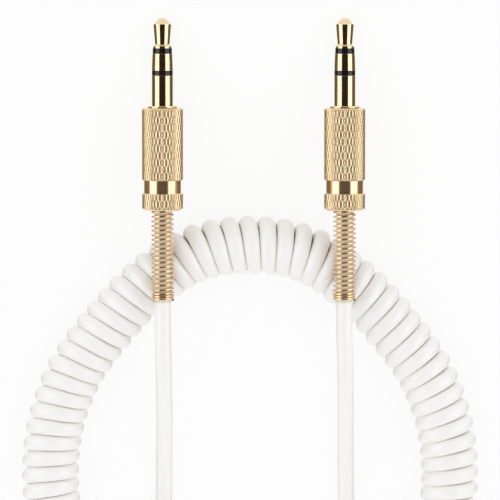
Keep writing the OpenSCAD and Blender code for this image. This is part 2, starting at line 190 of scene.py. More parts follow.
def grid_faces(rows, columns, closed_rows=False):
    """Faces between rings of points, each ring closed on itself."""
    faces = []
    for i in range(rows if closed_rows else rows - 1):
        a, b = i * columns, (i + 1) % rows * columns
        for k in range(columns):
            m = (k + 1) % columns
            faces.append((a + k, a + m, b + m, b + k))
    return faces


def smooth_curve(points, steps):
    """The smooth curve through points, with a number of steps between neighbours."""
    p = np.asarray(points, float)
    p = np.vstack([2 * p[0] - p[1], p, 2 * p[-1] - p[-2]])
    line = []
    for i in range(len(p) - 3):
        a, b, c, d = p[i:i + 4]
        for t in np.arange(steps) / steps:
            line.append(0.5 * (2 * b + (c - a) * t + (2 * a - 5 * b + 4 * c - d) * t ** 2
                               + (3 * b - a - 3 * c + d) * t ** 3))
    line.append(p[-2])
    return np.array(line)


def tube(name, path, diameters, sides, material, round_ends=False):
    """A closed tube along a path of points, whose rings turn as little as they can. It has one
    diameter, or one at each point."""
    path = np.asarray(path, float)
    diameters = np.broadcast_to(diameters, len(path))
    headings = np.gradient(path, axis=0)
    headings /= np.linalg.norm(headings, axis=1)[:, None]
    out = np.cross(headings[0], [0.0, 0.0, 1.0])
    angles = np.arange(sides) * 2 * math.pi / sides
    rings = []
    for centre, heading, diameter in zip(path, headings, diameters):
        out = out - (out @ heading) * heading
        out /= np.linalg.norm(out)
        side = np.cross(heading, out)
        rings.append(centre + diameter / 2 * (np.cos(angles)[:, None] * out
                                              + np.sin(angles)[:, None] * side))
    if round_ends:
        reach = END_RING_REACH * diameters[0]
        first = path[0] + (rings[0] - path[0]) * END_RING_WIDTH - headings[0] * reach
        last = path[-1] + (rings[-1] - path[-1]) * END_RING_WIDTH + headings[-1] * reach
        rings = [first] + rings + [last]
    last_row = (len(rings) - 1) * sides
    faces = [tuple(reversed(face)) for face in grid_faces(len(rings), sides)]
    faces.append(tuple(range(sides)))
    faces.append(tuple(last_row + k for k in reversed(range(sides))))
    return new_object(name, np.vstack(rings), faces, material)


def fillet(profile):
    """Rounds the corners of an open profile of (z, r, radius) points, and adds a point beside
    each round so that the long faces stay flat."""
    points = [np.array(point[:2], float) for point in profile]
    rounded = [points[0]]
    for i in range(1, len(points) - 1):
        radius = profile[i][2]
        corner = points[i]
        if not radius:
            rounded.append(corner)
            continue
        to_last = points[i - 1] - corner
        to_next = points[i + 1] - corner
        last_length = np.linalg.norm(to_last)
        next_length = np.linalg.norm(to_next)
        reach = min(radius, last_length * CORNER_SHARE, next_length * CORNER_SHARE)
        start = corner + to_last / last_length * reach
        end = corner + to_next / next_length * reach
        rounded.append(start + to_last / last_length * reach * CORNER_MARGIN)
        for t in np.linspace(0, 1, CORNER_POINTS):
            rounded.append((1 - t) ** 2 * start + 2 * t * (1 - t) * corner + t ** 2 * end)
        rounded.append(end + to_next / next_length * reach * CORNER_MARGIN)
    rounded.append(points[-1])
    return rounded


def lathe(name, profile, material, columns=PLUG_COLUMNS, relief=None):
    """A solid of revolution about a plug's axis, from a profile of (z, r) points. A profile that
    starts and ends on the axis is closed there, and another one is closed on itself. relief moves
    the points of each ring in or out: it takes z, r and angles, and gives changes of radius."""
    angles = np.arange(columns) * 2 * math.pi / columns
    rows = []
    on_the_axis = profile[0][1] == 0
    body = profile[1:-1] if on_the_axis else profile
    for z, r in body:
        radii = np.full(columns, float(r))
        if relief is not None:
            radii = radii + relief(z, r, angles)
        rows.append(np.stack([radii * np.cos(angles), radii * np.sin(angles),
                              np.full(columns, float(z))], axis=1))
    vertices = np.vstack(rows)
    faces = grid_faces(len(rows), columns, closed_rows=not on_the_axis)
    if relief is not None:
        faces = split_along_grooves(vertices, faces)
    if on_the_axis:
        first, last = len(vertices), len(vertices) + 1
        vertices = np.vstack([vertices, [[0, 0, profile[0][0]], [0, 0, profile[-1][0]]]])
        last_row = (len(rows) - 1) * columns
        for k in range(columns):
            m = (k + 1) % columns
            faces.append((first, m, k))
            faces.append((last, last_row + k, last_row + m))
    return new_object(name, vertices, faces, material)


def split_along_grooves(vertices, faces):
    """Splits each four-sided face along its deeper diagonal, to keep slanting grooves sharp."""
    radius = np.hypot(vertices[:, 0], vertices[:, 1])
    split = []
    for a, b, c, d in faces:
        if radius[a] + radius[c] < radius[b] + radius[d]:
            split += [(a, b, c), (a, c, d)]
        else:
            split += [(a, b, d), (b, c, d)]
    return split


def put_on_plug(obj, side, body, cad_node):
    """Places a lathed or wound piece on a plug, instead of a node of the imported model."""
    obj.data.transform(scaled(plug_matrix(SIDES[side])))
    fix_normals(obj)
    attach(obj, body)
    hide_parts(cad_node)


def scaled(matrix):
    """A matrix in millimetres, for points that are already in metres."""
    m = matrix.copy()
    m.translation = m.translation * MM
    return m


def fix_normals(obj):
    """Turns every face outwards."""
    work = bmesh.new()
    work.from_mesh(obj.data)
    bmesh.ops.recalc_face_normals(work, faces=work.faces)
    work.to_mesh(obj.data)
    work.free()


# ---- Materials ----

# The name of the mesh attribute that holds how deep a point is in a knurl's groove or in the
# crease between two curls, from 0 to 1, where shade is painted. The narrowness is the power that it
# is raised to.
GROOVE = "groove"
GROOVE_NARROWNESS = 3
# Painted shade: the dark gold painted into the bottoms of the knurl's grooves
PAINTED_GROOVE_SHADE = (0.42, 0.28, 0.13)
CREASE_NARROWNESS = 20
# Painted shade: the olive colour painted into the creases between the curls
PAINTED_CREASE_SHADE = (0.5, 0.47, 0.36)
# The values of a noise between which the roughness changes, and those between which the tone does
SPREAD_RANGE = (0.3, 0.7)
TINT_RANGE = (0.35, 0.65)
# Metals by name: darker and lighter tone, least and most roughness, and grain in millimetres
METALS = {
    "plug_gold": ((0.84, 0.68, 0.43), (0.88, 0.72, 0.47), 0.1, 0.15, 0.004),
    "barrel_gold": ((0.90, 0.70, 0.43), (0.96, 0.76, 0.49), 0.14, 0.2, 0.006),
    "band_gold": ((0.89, 0.63, 0.40), (0.93, 0.68, 0.45), 0.13, 0.18, 0.003),
    "spring_gold": ((0.84, 0.61, 0.37), (0.92, 0.69, 0.45), 0.08, 0.14, 0.004),
    "tab_metal": ((0.62, 0.6, 0.57), (0.74, 0.73, 0.7), 0.22, 0.35, 0.006),
    "ground_copper": ((0.6, 0.28, 0.15), (0.75, 0.38, 0.22), 0.25, 0.4, 0.02),
    "solder": ((0.52, 0.52, 0.54), (0.68, 0.68, 0.7), 0.2, 0.35, 0.02),
}
# Plastics by name: darker and lighter tone, least and most roughness, how many features the
# skin's noise has in a metre, and its depth in millimetres
PLASTICS = {
    "black_insulator": ((0.006, 0.005, 0.005), (0.012, 0.011, 0.011), 0.1, 0.18, 1500, 0.006),
    "washer_board": ((0.2, 0.1, 0.05), (0.33, 0.18, 0.1), 0.6, 0.75, 2500, 0.02),
    "liner_plastic": ((0.72, 0.72, 0.68), (0.82, 0.82, 0.78), 0.35, 0.45, 900, 0.01),
    "cord_white": ((0.955, 0.95, 0.93), (0.97, 0.965, 0.95), 0.3, 0.4, 1400, 0.01),
    # Painted light and shade: the cord inside a spring is white, and this tan paints the warm light
    # that the gold wire throws on it and the shade within the spring
    "cord_with_painted_spring_shade": ((0.93, 0.83, 0.64), (0.96, 0.87, 0.69), 0.35, 0.45, 1400, 0.01),
    "wire_red": ((0.5, 0.02, 0.02), (0.62, 0.03, 0.03), 0.3, 0.4, 1800, 0.01),
    "wire_white": ((0.74, 0.74, 0.73), (0.82, 0.82, 0.81), 0.3, 0.4, 1800, 0.01),
}
# Shader inputs that some of these have of their own
OWN_INPUTS = {
    "barrel_gold": {"Metallic": 0.78},
    "band_gold": {"Metallic": 0.9},
    "spring_gold": {"Metallic": 0.96},
    "black_insulator": {"Specular IOR Level": 0.55},
}


def node(tree, kind, inputs, **settings):
    """A shader node with its settings, whose inputs are values or other nodes' outputs."""
    made = tree.nodes.new(kind)
    for setting, value in settings.items():
        setattr(made, setting, value)
    for socket, value in inputs.items():
        if isinstance(value, bpy.types.NodeSocket):
            tree.links.new(value, made.inputs[socket])
        else:
            made.inputs[socket].default_value = value
    return made


def mixed(tree, share, one, other):
    """A colour between two, by a share of the second."""
    return node(tree, "ShaderNodeMix", {0: share, 6: one, 7: other}, data_type="RGBA").outputs[2]


def shader(name, colour, metallic, roughness):
    """A material with its Principled shader, as (material, node tree, shader node)."""
    material = bpy.data.materials.new(name)
    material.use_nodes = True
    tree = material.node_tree
    main = tree.nodes["Principled BSDF"]
    inputs = {"Base Color": (*colour, 1), "Metallic": metallic, "Roughness": roughness}
    inputs.update(OWN_INPUTS.get(name, {}))
    for socket, value in inputs.items():
        main.inputs[socket].default_value = value
    material.diffuse_color = (*colour, 1)
    return material, tree, main


def noise(tree, scale, detail, roughness=0.55, stretch=None):
    """A noise texture in the piece's own coordinates, in features per metre."""
    place = tree.nodes.new("ShaderNodeTexCoord").outputs["Object"]
    if stretch is not None:
        mapping = node(tree, "ShaderNodeMapping", {"Vector": place, "Scale": stretch})
        place = mapping.outputs["Vector"]
    return node(tree, "ShaderNodeTexNoise", {
        "Vector": place, "Scale": scale, "Detail": detail, "Roughness": roughness,
    }).outputs["Fac"]


def spread(tree, source, low, high):
    """Spreads a noise over the range from low to high."""
    return node(tree, "ShaderNodeMapRange", {
        "Value": source, "From Min": SPREAD_RANGE[0], "From Max": SPREAD_RANGE[1],
        "To Min": low, "To Max": high,
    }).outputs["Result"]


def colour_ramp(tree, source, stops):
    """The colours of a ramp with (position, colour) stops, by the value of source."""
    ramp = node(tree, "ShaderNodeValToRGB", {"Fac": source})
    elements = ramp.color_ramp.elements
    while len(elements) < len(stops):
        elements.new(1)
    for element, (position, colour) in zip(elements, stops):
        element.position = position
        element.color = (*colour, 1)
    return ramp.outputs["Color"]


def tint(tree, main, source, dark, light):
    """Colours the surface from dark to light along a noise."""
    colour = colour_ramp(tree, source, list(zip(TINT_RANGE, (dark, light))))
    tree.links.new(colour, main.inputs["Base Color"])


def bump(tree, main, source, strength, distance):
    """Tilts the surface as a relief of this height would."""
    relief = node(tree, "ShaderNodeBump", {
        "Strength": strength, "Distance": distance, "Height": source,
    })
    tree.links.new(relief.outputs["Normal"], main.inputs["Normal"])


def metal(name, dark, light, smooth, dull, grain):
    """Plated metal: its tone and gloss drift slightly, with fine turning marks round the axis."""
    material, tree, main = shader(name, light, metallic=1.0, roughness=smooth)
    drift = noise(tree, scale=260, detail=3)
    tint(tree, main, drift, dark, light)
    marks = noise(tree, scale=900, detail=4, roughness=0.6, stretch=(0.15, 6, 0.15))
    tree.links.new(spread(tree, marks, smooth, dull), main.inputs["Roughness"])
    bump(tree, main, marks, strength=0.12, distance=grain * MM)
    return material


def plastic(name, dark, light, smooth, dull, scale, depth):
    """Moulded plastic with a faint mottle and an almost smooth skin."""
    material, tree, main = shader(name, light, metallic=0.0, roughness=smooth)
    mottle = noise(tree, scale=scale / 4, detail=2)
    tint(tree, main, mottle, dark, light)
    skin = noise(tree, scale=scale, detail=3)
    tree.links.new(spread(tree, skin, smooth, dull), main.inputs["Roughness"])
    bump(tree, main, skin, strength=0.2, distance=depth * MM)
    return material


def paint_shade_in_grooves(material, colour, narrowness):
    """Paints shade into the bottoms of grooves or creases: a darker colour by how deep a point lies
    in them.
    """
    tree = material.node_tree
    base = tree.nodes["Principled BSDF"].inputs["Base Color"]
    groove = node(tree, "ShaderNodeAttribute", {}, attribute_name=GROOVE).outputs["Fac"]
    narrow = node(tree, "ShaderNodeMath", {0: groove, 1: narrowness}, operation="POWER")
    plain = base.links[0].from_socket
    tree.links.new(mixed(tree, narrow.outputs["Value"], plain, (*colour, 1)), base)


def make_materials():
    """Every material by name. The names are the slots too."""
    made = {name: metal(name, *look) for name, look in METALS.items()}
    made.update({name: plastic(name, *look) for name, look in PLASTICS.items()})
    return made


materials = make_materials()
# Paints shade into the knurl's grooves
paint_shade_in_grooves(materials["barrel_gold"], PAINTED_GROOVE_SHADE, GROOVE_NARROWNESS)
# Paints shade into the creases between the curls
paint_shade_in_grooves(materials["cord_white"], PAINTED_CREASE_SHADE, CREASE_NARROWNESS)

# ---- The free cord: one tube from the left spring to the right one ----

# The route of the coil's axis: (x, y) points of its right half, x from the middle of the arch
ARCH_MIDDLE_X = -0.6
ARCH_STEPS = 24
HALF_ARCH = [
    (0, -15.3), (9.5, -17), (17.5, -22.5), (24.3, -30), (30, -38.4),
    (33.3, -47.9), (34.2, -56.9), (33.6, -65.9), (32.8, -74.9),
]
# The routes of the tails from the coil's ends to near the springs: (x, y, z) points
LEFT_TAIL = [
    (-33, -82, 4), (-31.6, -86, 3.3), (-28.6, -89, 2.4), (-24.4, -90.2, 1.7),
    (-20.2, -89.2, 1.35), (-17, -86.2, 1.35), (-15.7, -82, 1.35), (-15.5, -77, 1.35),
    (-15.5, -71, 1.35), (-15.5, -65, 1.4), (-15.4, -59.5, 2), (-15.3, -54, 3.6),
    (-15.2, -48.5, 6.1), (-15.1, -43.5, 8.9), (-15.1, -38.5, 11.5), (-15.1, -33.5, 13.1),
]
RIGHT_TAIL = [
    (31.9, -82, 4), (30.7, -85.7, 3.3), (28, -88.4, 2.4), (24.1, -89.5, 1.7),
    (20.3, -88.5, 1.35), (17.4, -85.7, 1.35), (16.2, -82, 1.35), (16, -77, 1.35),
    (16, -71, 1.35), (16, -65, 1.4), (15.9, -59.5, 2), (15.8, -54, 3.6),
    (15.7, -48.5, 6.1), (15.6, -43.5, 8.9), (15.5, -38.5, 11.5), (15.4, -33.5, 13.1),
]
TAIL_STEPS = 8
# How far behind the spring a tail still has points on the plug's axis
STRAIGHT_REACHES = (0, 2, 5.4)
# The coil's turns, without those at its ends that are drawn in to its axis and out along it
COIL_TURNS = 49
COIL_PHASE = 0.64
DRAW_IN_TURNS = 1
DRAW_IN_STRETCH = 6
STEPS_PER_TURN = 36
# The arch's direction at a point is measured this far ahead of it and behind it
DIRECTION_REACH = 0.5
CORD_SIDES = 20
# Curls this far apart get no shade painted in the crease between them, and in nearer ones it grows
# over the next length
CREASE_END = 3.3
CREASE_FADE = 0.4


def arch_line():
    """The route of the coil's axis from the left leg to the right, and how long it is at each
    point."""
    right = [(ARCH_MIDDLE_X + x, y) for x, y in HALF_ARCH]
    left = [(ARCH_MIDDLE_X - x, y) for x, y in HALF_ARCH[:0:-1]]
    line = smooth_curve(left + right, ARCH_STEPS)
    steps = np.linalg.norm(np.diff(line, axis=0), axis=1)
    return line, np.concatenate([[0], np.cumsum(steps)])


def coil_path():
    """The curly cord: turns that lean back and ride on the arch, drawn in at both ends."""
    line, lengths = arch_line()

    def on_arch(place):
        x, y = [np.interp(place, lengths, line[:, axis]) for axis in (0, 1)]
        return np.stack([x, y, np.zeros(len(place))], axis=1)

    turns = np.linspace(-DRAW_IN_TURNS, COIL_TURNS + DRAW_IN_TURNS,
                        int((COIL_TURNS + 2 * DRAW_IN_TURNS) * STEPS_PER_TURN) + 1)
    past = np.maximum(0, np.maximum(-turns, turns - COIL_TURNS))
    extra = DRAW_IN_STRETCH * DRAW_IN_TURNS ** 2
    pitch = (lengths[-1] - 2 * extra) / (COIL_TURNS + 2 * DRAW_IN_TURNS)
    place = extra + pitch * (DRAW_IN_TURNS + turns)
    place += np.where(turns < 0, -1, 1) * DRAW_IN_STRETCH * past ** 2
    forwards = on_arch(place + DIRECTION_REACH) - on_arch(place - DIRECTION_REACH)
    forwards /= np.linalg.norm(forwards, axis=1)[:, None]
    up = np.array([0, math.sin(COIL_LEAN), math.cos(COIL_LEAN)])
    across = np.cross([0, 0, 1], forwards)
    across -= (across @ up)[:, None] * up
    across /= np.linalg.norm(across, axis=1)[:, None]
    radius = COIL_R * (1 + np.cos(math.pi * past / DRAW_IN_TURNS)) / 2
    angle = 2 * math.pi * (turns + COIL_PHASE)
    centre = on_arch(place) + np.array([0, 0, COIL_AXIS_Z])
    return centre + radius[:, None] * (np.cos(angle)[:, None] * across
                                       + np.sin(angle)[:, None] * up)


def tail_path(side, points, coil_end):
    """A tail's route, smooth through its points, from the spring's end to the coil."""
    straight = [on_axis(side, SPRING_END - reach) for reach in STRAIGHT_REACHES]
    return smooth_curve(straight + points[::-1] + [coil_end], TAIL_STEPS)


def mark_creases(cord, path, coil_start, coil_points):
    """Stores how near each point of the coil is to the line where its curl meets the next one.
    The cord's material paints shade into these creases by it, and the painted shade fades down the
    sides of the coil."""
    points = np.array([vertex.co for vertex in cord.data.vertices]) / MM
    coil = slice(coil_start, coil_start + coil_points)
    centres = path[coil]
    outwards = points.reshape(len(path), CORD_SIDES, 3)[coil] - centres[:, None]
    outwards /= np.linalg.norm(outwards, axis=2, keepdims=True)
    crest = np.clip((centres[:, 2] - COIL_AXIS_Z) / COIL_R, 0, 1)
    depth = np.zeros((len(path), CORD_SIDES))
    for shift in (STEPS_PER_TURN, -STEPS_PER_TURN):
        towards = np.roll(centres, shift, axis=0) - centres
        distance = np.linalg.norm(towards, axis=1)
        facing = np.einsum("ijk,ik->ij", outwards, towards) / distance[:, None]
        meeting = np.minimum(1, distance / COIL_CORD_D)
        touch = np.clip((CREASE_END - distance) / CREASE_FADE, 0, 1)
        # This root undoes the power that the material raises the depth to
        share = (touch * crest) ** (1 / CREASE_NARROWNESS)
        near = np.clip(1 - meeting[:, None] + facing, 0, 1) * share[:, None]
        depth[coil] = np.maximum(depth[coil], near)
    cord.data.attributes.new(GROOVE, "FLOAT", "POINT").data.foreach_set("value", depth.ravel())


def make_cord():
    """The coil and both tails in one tube, which thickens from the springs to the coil."""
    coil = coil_path()
    left = tail_path(-1, LEFT_TAIL, coil[0])
    right = tail_path(1, RIGHT_TAIL, coil[-1])
    path = np.vstack([left[:-1], coil, right[::-1][1:]])
    widths = np.concatenate([
        np.linspace(CORD_D, COIL_CORD_D, len(left) - 1), np.full(len(coil), COIL_CORD_D),
        np.linspace(COIL_CORD_D, CORD_D, len(right) - 1),
    ])
    cord = tube("cord", path, widths, CORD_SIDES, materials["cord_white"])
    mark_creases(cord, path, len(left) - 1, len(coil))
    fix_normals(cord)
    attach(cord, "cable")
    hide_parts("left_tail", "coil_cord", "right_tail")


make_cord()

# ---- Springs ----

SPRING_STEPS = 28
SPRING_SIDES = 12
OPEN_PITCH = 0.78
CLOSED_PITCH = 0.41
CLOSED_TURNS = 3
# How far the wire cuts the corner where its pitch changes, as a share of the change
PITCH_EASE = 0.12
# The turn at which the flare starts to narrow, and over how many turns it does
FLARE_START = 0.5
FLARE_TURNS = 0.75


def spring_path():
    """The wire's line in the plug's frame: a flared front turn, open turns, and closed turns at
    the rear."""
    front = BARREL_REAR + SPRING_INSIDE - SPRING_WIRE
    rear = SPRING_END + SPRING_WIRE / 2
    closed = CLOSED_TURNS * CLOSED_PITCH
    open_turns = round((front - rear - closed) / OPEN_PITCH)
    open_pitch = (front - rear - closed) / open_turns
    turns = np.linspace(0, open_turns + CLOSED_TURNS,
                        int((open_turns + CLOSED_TURNS) * SPRING_STEPS) + 1)
    # The turn in whose middle the pitch changes, from 0 to 1
    ease = np.clip(turns - open_turns + 0.5, 0, 1)
    z = front - open_pitch * np.minimum(turns, open_turns)
    z = z - CLOSED_PITCH * np.maximum(0, turns - open_turns)
    z = z + (open_pitch - CLOSED_PITCH) * PITCH_EASE * np.sin(math.pi * ease)
    flare = np.clip((turns - FLARE_START) / FLARE_TURNS, 0, 1)
    radius = SPRING_FLARE_R + (SPRING_R - SPRING_FLARE_R) * (1 - np.cos(math.pi * flare)) / 2
    angle = -2 * math.pi * turns
    return np.stack([radius * np.cos(angle), radius * np.sin(angle), z], axis=1)


def make_springs():
    """Each spring is one wire, in the place of its node."""
    for side in SIDES:
        spring = tube(side + "_spring_wire", spring_path(), SPRING_WIRE, SPRING_SIDES,
                      materials["spring_gold"], round_ends=True)
        put_on_plug(spring, side, side + "_spring", side + "_spring")


make_springs()

# ---- Barrels ----

KNURL_STARTS = 36
KNURL_PITCH = 2.32
KNURL_DEPTH = 0.1
KNURL_FULLNESS = 2
KNURL_SAMPLES = 12
# How far the barrel's edges are broken, inwards and along the axis. The rear one ends in a bevel.
FRONT_EDGE = (0.22, 0.12)
REAR_EDGE = (0.36, 0.26)
REAR_BEVEL = 0.06
BORE_CHAMFER = 0.08
# Room between the barrel and the boss, round it and behind it
BOSS_ROOM = (0.06, 0.05)
# The band's inner corners, and how far points lie from its ends and the barrel's edges, so that
# the faces between them look flat
BAND_CORNER = 0.02
BAND_MARGIN = 0.06
EDGE_MARGIN = 0.1


def knurl_relief(z, r, angles):
    """How far the surface lies inside the knurl's tops: two families of crossing grooves, with
    a rounded lozenge between them."""
    if r < BARREL_R:
        return np.zeros(len(angles))
    turn = KNURL_STARTS * angles / (2 * math.pi)
    one = np.abs(2 * ((turn + z / KNURL_PITCH) % 1) - 1)
    two = np.abs(2 * ((turn - z / KNURL_PITCH) % 1) - 1)
    return -KNURL_DEPTH * np.maximum(one, two) ** KNURL_FULLNESS


def barrel_profile():
    """The barrel's section, from its front bore over the knurls and the band and back inside."""
    step = KNURL_PITCH / KNURL_SAMPLES
    bore_r = BOSS_R + BOSS_ROOM[0]
    seat = -BOSS_LENGTH - BOSS_ROOM[1]
    front_r = BARREL_R - FRONT_EDGE[0]
    rear_r = BARREL_R - REAR_EDGE[0]
    groove_r = BARREL_R - KNURL_DEPTH
    chamber_rear = BARREL_REAR + REAR_WALL
    band_rear = BARREL_REAR + REAR_KNURL
    band_front = band_rear + BAND_LENGTH
    knurl_front = BARREL_FRONT - FRONT_EDGE[1]
    front_rows = int((knurl_front - band_front) / step)
    rear_rows = int((band_rear - BAND_CORNER - BARREL_REAR - REAR_EDGE[1]) / step)
    profile = [(BARREL_FRONT, bore_r + BORE_CHAMFER), (BARREL_FRONT, front_r - EDGE_MARGIN),
               (BARREL_FRONT, front_r)]
    profile += [(knurl_front - i * step, BARREL_R) for i in range(front_rows + 1)]
    profile += [(band_front, groove_r), (band_front, BAND_R + BAND_CORNER),
                (band_front - BAND_CORNER, BAND_R), (band_front - BAND_MARGIN, BAND_R),
                (band_rear + BAND_MARGIN, BAND_R), (band_rear + BAND_CORNER, BAND_R),
                (band_rear, BAND_R + BAND_CORNER), (band_rear, groove_r)]
    profile += [(band_rear - BAND_CORNER - i * step, BARREL_R) for i in range(rear_rows + 1)]
    profile += [(BARREL_REAR + REAR_BEVEL, rear_r + REAR_BEVEL), (BARREL_REAR, rear_r),
                (BARREL_REAR, rear_r - EDGE_MARGIN), (BARREL_REAR, REAR_HOLE_R + BORE_CHAMFER),
                (BARREL_REAR + BORE_CHAMFER, REAR_HOLE_R), (chamber_rear, REAR_HOLE_R),
                (chamber_rear, CHAMBER_R), (seat, CHAMBER_R), (seat, bore_r),
                (BARREL_FRONT - BORE_CHAMFER, bore_r)]
    return profile


def mark_grooves(mesh):
    """Stores how deep in the knurl each point lies, by which the barrel's material paints shade into
    the grooves.
    """
    radii = np.array([math.hypot(*vertex.co[:2]) for vertex in mesh.vertices]) / MM
    depth = (BARREL_R - radii) / KNURL_DEPTH
    depth[(depth < 0) | (depth > 1 + ROUNDING)] = 0
    mesh.attributes.new(GROOVE, "FLOAT", "POINT").data.foreach_set("value", depth)


def make_barrels():
    """The knurled barrels. Their bands have a material of their own."""
    band_rear = BARREL_REAR + REAR_KNURL - ROUNDING
    band_front = band_rear + BAND_LENGTH + 2 * ROUNDING
    for side in SIDES:
        barrel = lathe(side + "_barrel_shell", barrel_profile(), materials["barrel_gold"],
                       KNURL_STARTS * KNURL_SAMPLES, knurl_relief)
        barrel.data.materials.append(materials["band_gold"])
        mark_grooves(barrel.data)
        for face in barrel.data.polygons:
            z = [barrel.data.vertices[v].co.z / MM for v in face.vertices]
            if min(z) >= band_rear and max(z) <= band_front:
                face.material_index = 1
        put_on_plug(barrel, side, side + "_barrel", side + "_barrel")


make_barrels()

# ---- Contacts and bands ----

BAND_Z = SLEEVE_LENGTH
RING_Z = BAND_Z + REAR_BAND
FRONT_BAND_Z = RING_Z + RING_LENGTH
TIP_Z = FRONT_BAND_Z + FRONT_BAND
# The rod and the tubes round it run back into the barrel, one inside the other. WALL is how thick
# the tubes are.
ROD_R = 0.5
ROD_END = -5.8
TIP_TUBE_R = 0.52
TIP_TUBE_END = -5.4
RING_TUBE_R = 0.82
RING_TUBE_END = -4.8
REAR_TUBE_R = 1.12
SLEEVE_BORE_R = 1.42
WALL = 0.28
EDGE_ROUND = 0.03
# The tip's corners as (z, r, radius), from its collar to its waist with z from the collar's rear,
# and from its rim to the side of its dome with z from the rim
TIP_NECK = [
    (0, COLLAR_R, EDGE_ROUND), (0.42, COLLAR_R - 0.05, 0.12), (0.62, WAIST_R - 0.04, 0.05),
    (0.74, WAIST_R, 0.04),
]
TIP_HEAD = [(0, RIM_R, EDGE_ROUND), (0.04, DOME_FOOT_R, 0.06), (0.62, DOME_SIDE_R, 0.3)]
POINT_SETBACK = 0.1
POINT_ROUND = 0.2
ROD_ROUND = 0.05
# How far the ring's middle stands out from a straight taper, and how round it is there
RING_BULGE = 0.015
RING_ROUND = 0.5
# The thread: its depth, where it ends at the front and the rear, and its samples
THREAD_DEPTH = 0.22
THREAD_FRONT = -0.45
THREAD_REAR = -BOSS_LENGTH + 0.1
THREAD_LENGTH = 3.5
THREAD_SAMPLES = 8
# How far the boss's rear edge is broken, inwards and along the axis, and its plain collar in front
BOSS_REAR_EDGE = (0.2, 0.05)
BOSS_COLLAR = 0.4
BOSS_ROUND = 0.1
SHOULDER_ROUND = 0.05
SLEEVE_ROUND = 0.04


def thread_relief(z, r, angles):
    """The boss's right-hand thread, which starts behind a plain collar."""
    if r < BOSS_R or z > THREAD_FRONT or z < THREAD_REAR:
        return np.zeros(len(angles))
    turn = (z / THREAD_PITCH - angles / (2 * math.pi)) % 1
    return -THREAD_DEPTH * np.abs(2 * turn - 1)


def tip_profile():
    """The tip: the rod, the collar, the waist and the head with its point."""
    front = POINT_Z - POINT_SETBACK
    corners = [(ROD_END, 0, 0), (ROD_END, ROD_R, ROD_ROUND), (TIP_Z, ROD_R, 0)]
    corners += [(TIP_Z + z, r, radius) for z, r, radius in TIP_NECK]
    corners += [(HEAD_Z + z, r, radius) for z, r, radius in TIP_HEAD]
    corners += [(front, POINT_FLAT_R, POINT_ROUND), (front, 0, 0)]
    return fillet(corners)


def sleeve_profile():
    """The threaded boss, the shoulder and the bare sleeve, on their bore."""
    step = THREAD_PITCH / THREAD_SAMPLES
    rows = int(THREAD_LENGTH / step)
    rear_z = -BOSS_LENGTH + BOSS_REAR_EDGE[1]
    rear = [(-BOSS_LENGTH, SLEEVE_BORE_R), (-BOSS_LENGTH, BOSS_R - BOSS_REAR_EDGE[0])]
    boss = [(rear_z + i * step, BOSS_R) for i in range(rows + 1)]
    front = fillet([
        (-BOSS_COLLAR, BOSS_R, 0), (0, BOSS_R, BOSS_ROUND), (0, PLUG_R, SHOULDER_ROUND),
        (BAND_Z, PLUG_R, SLEEVE_ROUND), (BAND_Z, SLEEVE_BORE_R, 0),
    ])
    return rear + boss + front


def insulator_profile(inner, back, rear, front):
    """A tube with a band at its front end that shows between two contacts. rear and front are
    the band's (z, r) corners."""
    outer = inner + WALL
    return fillet([
        (back, inner, 0), (back, outer, 0), (rear[0], outer, 0), (*rear, EDGE_ROUND),
        (*front, EDGE_ROUND), (front[0], inner, 0),
    ])


def ring_profile():
    """The ring and its tube. It narrows towards the tip, faster at the front."""
    outer = RING_TUBE_R + WALL
    middle = (RING_Z + FRONT_BAND_Z) / 2, sum(RING_R) / 2 + RING_BULGE
    return fillet([
        (RING_TUBE_END, RING_TUBE_R, 0), (RING_TUBE_END, outer, 0), (RING_Z, outer, 0),
        (RING_Z, RING_R[0], EDGE_ROUND), (*middle, RING_ROUND),
        (FRONT_BAND_Z, RING_R[1], EDGE_ROUND), (FRONT_BAND_Z, RING_TUBE_R, 0),
    ])


def make_contacts():
    """The three contacts of each plug, and the insulators whose bands show between them."""
    front_band = insulator_profile(TIP_TUBE_R, TIP_TUBE_END, (FRONT_BAND_Z, FRONT_BAND_R[0]),
                                   (TIP_Z, FRONT_BAND_R[1]))
    rear_band = insulator_profile(REAR_TUBE_R, -BOSS_LENGTH, (BAND_Z, RING_R[0]),
                                  (RING_Z, RING_R[0]))
    pieces = [
        ("_tip", "_tip_contact", "plug_gold", tip_profile(), None),
        ("_sleeve", "_sleeve_contact", "plug_gold", sleeve_profile(), thread_relief),
        ("_ring", "_ring_contact", "plug_gold", ring_profile(), None),
        ("_front_band", "_tip_insulator", "black_insulator", front_band, None),
        ("_rear_band", "_ring_insulator", "black_insulator", rear_band, None),
    ]
    for side in SIDES:
        for name, cad_node, slot, profile, relief in pieces:
            piece = lathe(side + name, profile, materials[slot], relief=relief)
            put_on_plug(piece, side, "cable", side + cad_node)


make_contacts()

# ---- Nodes that keep their own shape ----

# The pieces inside the barrels and springs, and their materials
KEPT = {
    "tab_washers": "washer_board", "tip_tab": "tab_metal", "ring_tab": "tab_metal",
    "ground_tab": "tab_metal", "liner": "liner_plastic", "tip_wire": "wire_red",
    "ring_wire": "wire_white", "ground_wire": "ground_copper", "solder_joints": "solder",
    # The cord inside each spring gets the tan that paints the spring's shade and the gold's bounced
    # light
    "cord_end": "cord_with_painted_spring_shade",
}


def dress_kept_nodes():
    """Gives the nodes that keep their own shape their materials."""
    for side in SIDES:
        for part, slot in KEPT.items():
            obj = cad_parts[side + "_" + part]
            obj.data.materials.clear()
            obj.data.materials.append(materials[slot])


dress_kept_nodes()

# ---- Studio: a pale floor, a tent with a dark strip behind the camera, and two soft lights ----

